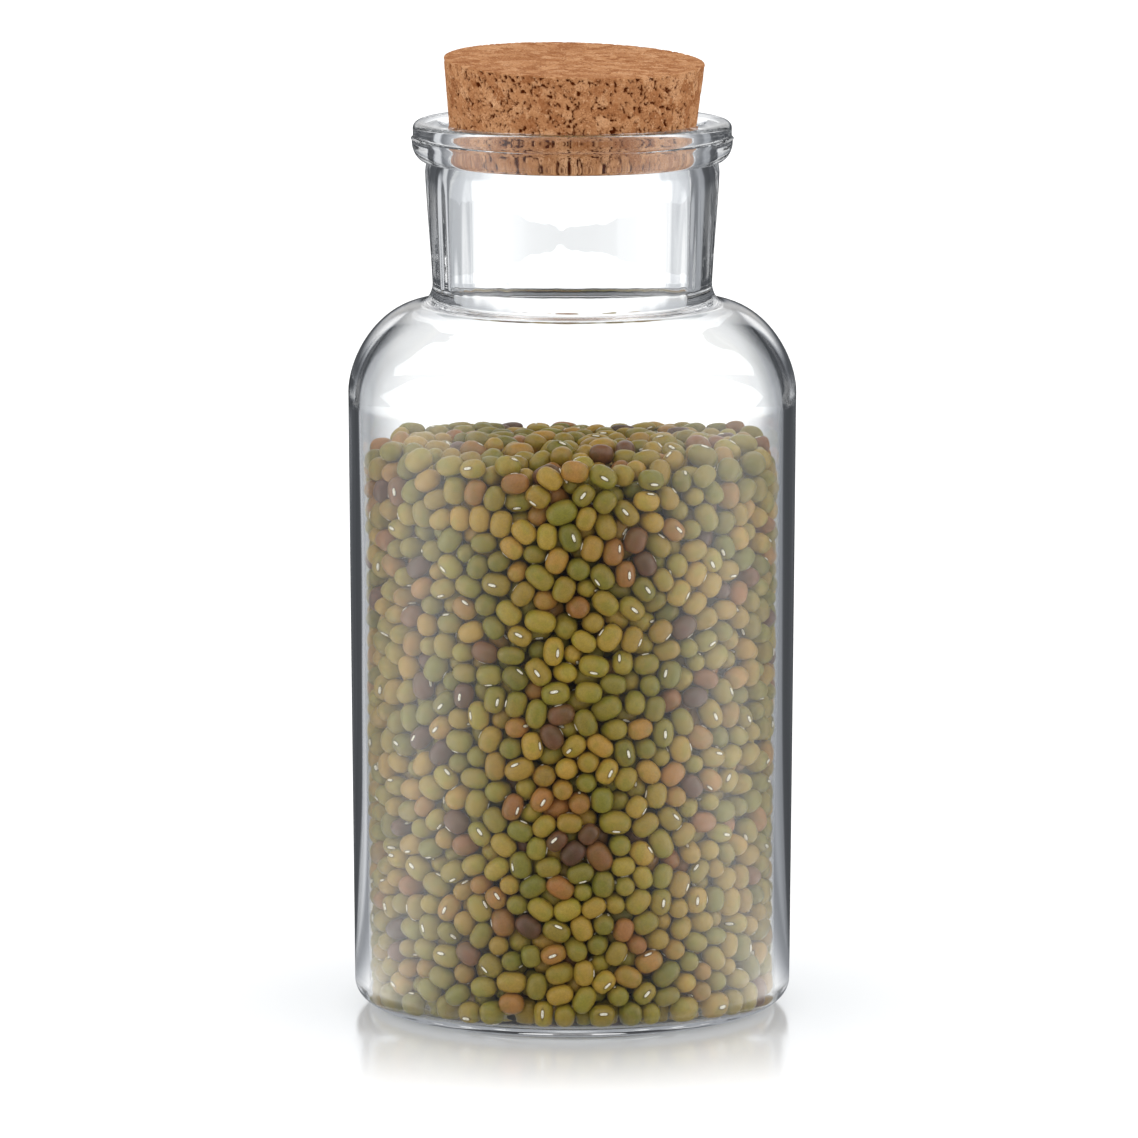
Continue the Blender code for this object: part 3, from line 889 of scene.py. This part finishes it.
def cork_grain(place, flat):
    """Depth of the cork's pits and height of its lumps at a place in millimetres, and its tone.

    flat is 1 on the sanded top, where pits are few and shallow.
    """
    bent = place + 0.45 * noise.noise_vector(place * 1.1)
    distances, spots = noise.voronoi(bent / CORK_GRANULE)
    small, _ = noise.voronoi(bent / CORK_FINE_GRANULE)
    seam = max(0.0, 1 - (distances[1] - distances[0]) / CORK_SEAM)
    fine_seam = max(0.0, 1 - (small[1] - small[0]) / CORK_FINE_SEAM)
    patchy = noise.noise(place * 0.55)
    patchy_fine = noise.noise(place * 1.3 + Vector((17.0, 5.0, 3.0)))
    pit = seam * clamp((patchy_fine + 0.05) * 3.0)
    pit = max(pit, 0.85 * fine_seam * clamp((patchy + patchy_fine - 0.12) * 3.5))
    hollow = noise.noise(place * 1.0 + Vector((40.0, 0.0, 9.0)))
    pit = max(pit, clamp((hollow - 0.42) * 7.0))
    pit = pit * (1 - 0.75 * flat)
    lump = 0.5 * noise.noise(place * 0.7) + 0.25 * noise.noise(place * 2.2)
    tone = (spots[0][0] * 3.7 + spots[0][1] * 5.3 + spots[0][2] * 7.1) % 1.0
    return pit, lump * (1 - 0.8 * flat), tone


def cork_material():
    material, shader = new_material("agglomerated_cork")
    pit = shader.add("Attribute", attribute_name="cork_pit").outputs["Fac"]
    tone = shader.add("Attribute", attribute_name="cork_tone").outputs["Fac"]
    place = shader.add("Attribute", attribute_name="cork_place").outputs["Vector"]
    broad = shader.add("TexNoise", {"Vector": place, "Scale": 0.5, "Detail": 5.0,
                                    "Roughness": 0.65}).outputs[0]
    fine = shader.add("TexNoise", {"Vector": place, "Scale": 2.6, "Detail": 6.0,
                                   "Roughness": 0.7}).outputs[0]
    level = shader.math("MULTIPLY_ADD", tone, 0.35, shader.math("MULTIPLY", fine, 0.65))
    level = shader.math("MULTIPLY_ADD", shader.math("SUBTRACT", broad, 0.5), 0.5, level)
    colour = shader.ramp(level, CORK_TONES)
    cells = shader.add("TexVoronoi", {"Vector": shader.vector("ADD", place, shader.add(
        "TexNoise", {"Vector": place, "Scale": 1.4, "Detail": 2.0}).outputs[1]), "Scale": 1.5},
        feature="DISTANCE_TO_EDGE").outputs["Distance"]
    crack = shader.math("MULTIPLY", shader.step(cells, 0.02, 0.09, 1.0, 0.0),
                        shader.step(broad, 0.44, 0.58))
    colour = shader.mix(shader.math("MULTIPLY", crack, 0.6), colour, srgb(112, 50, 14))
    fleck = shader.add("TexNoise", {"Vector": place, "Scale": 1.7, "Detail": 3.0}).outputs[0]
    colour = shader.mix(shader.step(fleck, 0.60, 0.68, 0.0, 0.55), colour, srgb(226, 178, 136))
    speck = shader.add("TexNoise", {"Vector": place, "Scale": 2.9, "Detail": 2.0}).outputs[0]
    colour = shader.mix(shader.step(speck, 0.63, 0.69, 0.0, 0.7), colour, srgb(98, 40, 8))
    # painted shade: where the surface is sunk into pits, its colour is darkened as well
    colour = shader.mix(shader.step(pit, 0.25, 0.8), colour, srgb(82, 33, 6))
    bump = shader.add("Bump", {"Height": fine, "Strength": 0.5, "Distance": 0.12 * MM})
    shader.finish(shader.add("BsdfPrincipled", {
        "Base Color": colour, "Roughness": 0.9, "Specular IOR Level": 0.04,
        "Normal": bump.outputs[0]}))
    return material


def make_cork():
    """The stopper, turned finely, with its pits, cracks and lumps pressed into it."""
    noise.seed_set(SEED)  # noise_vector starts from the time of day without it
    middle, axis, outline = stopper_frame()
    profile = smooth_section(outline, CORK_STEP, 0.0, 1)
    mesh = turned_mesh("cork", profile, CORK_TURN_STEPS)
    top = profile[0, 1]
    count = len(mesh.vertices)
    pits, tones = np.zeros(count), np.zeros(count)
    places, points = np.zeros((count, 3)), np.zeros((count, 3))
    for vertex in mesh.vertices:
        place = vertex.co.copy()
        radius = math.hypot(place.x, place.y)
        on_top = clamp((place.z - top + CORK_TOP_START) / CORK_TOP_FADE)
        pit, lump, tone = cork_grain(place / MM, on_top)
        sunk = CORK_PIT_DEPTH * pit + CORK_LUMP_DEPTH * (0.5 + lump)
        out = Vector((place.x, place.y, 0.0)) / max(radius, 1e-6)
        moved = place - out * sunk * (1 - on_top)
        moved.z -= sunk * on_top
        index = vertex.index
        pits[index], tones[index], places[index], points[index] = pit, tone, place / MM, moved
    mesh.vertices.foreach_set("co", points.astype(np.float32).ravel())
    store(mesh, "cork_pit", "FLOAT", pits)
    store(mesh, "cork_tone", "FLOAT", tones)
    store(mesh, "cork_place", "FLOAT_VECTOR", places)
    turn = axis.to_track_quat("Z", "Y").to_matrix().to_4x4()
    turn.translation = middle
    mesh.transform(turn)
    mesh.materials.append(cork_material())
    cork = add_piece("cork_stopper_grain", mesh, "stopper")
    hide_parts("cork_stopper")


set_view()
make_camera()
make_world()
make_floor()
make_glass()
make_cork()
make_beans()
